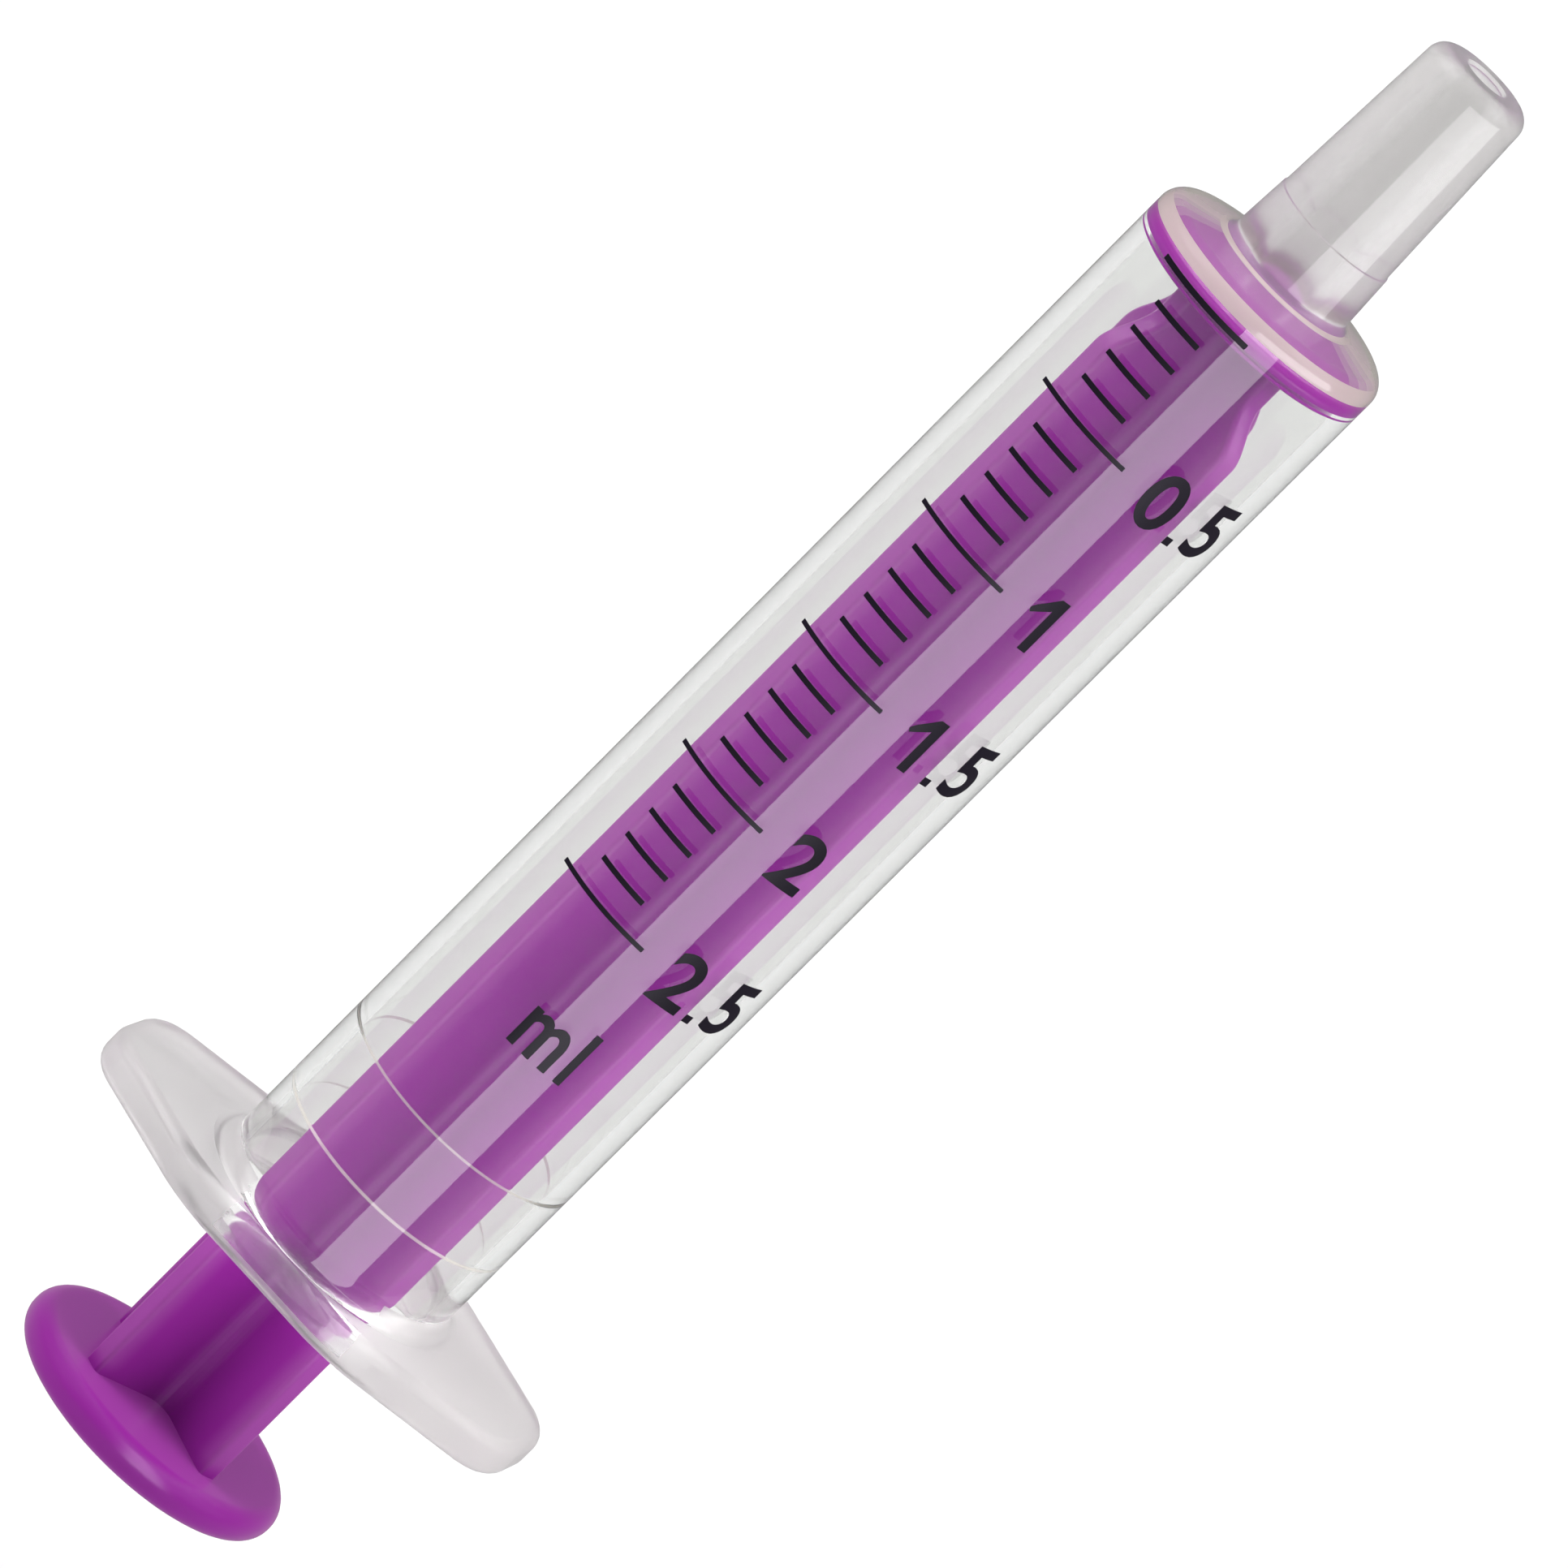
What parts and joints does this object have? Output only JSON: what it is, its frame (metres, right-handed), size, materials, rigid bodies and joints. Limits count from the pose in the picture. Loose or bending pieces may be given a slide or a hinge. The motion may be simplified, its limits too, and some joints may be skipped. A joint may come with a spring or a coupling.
{
  "type": "oral syringe",
  "caption": "Oral dosing syringe with a clear flanged barrel, a blunt nozzle, a printed volume scale and a one-piece four-vaned plunger that slides in the bore.",
  "frame": {"origin": "centre of the thumb disc's flat rear face, where the syringe's axis meets the surface that it stands on", "axes": "+Z along the syringe's axis from the thumb disc to the nozzle; +X along the finger flange's long direction; -Y towards the printed scale"},
  "size_m": [0.023, 0.0138, 0.0763],
  "materials": {
    "clear_plastic": "clear moulded polypropylene, smooth and glossy",
    "purple_plastic": "glossy coloured polyethylene",
    "ink": "flat printed ink"
  },
  "bodies": {
    "barrel": {"barrel": "clear_plastic", "zero_line": "ink", "half_lines": "ink", "tenth_lines": "ink", "numeral_0_5": "ink", "numeral_1": "ink", "numeral_1_5": "ink", "numeral_2": "ink", "numeral_2_5": "ink", "unit_mark": "ink"},
    "plunger": {"plunger": "purple_plastic"}
  },
  "joints": [
    {"name": "plunger_slide", "type": "slide", "parent": "plunger", "child": "barrel", "axis": [0, 0, 1], "range_m": [0, 0.0441]}
  ]
}
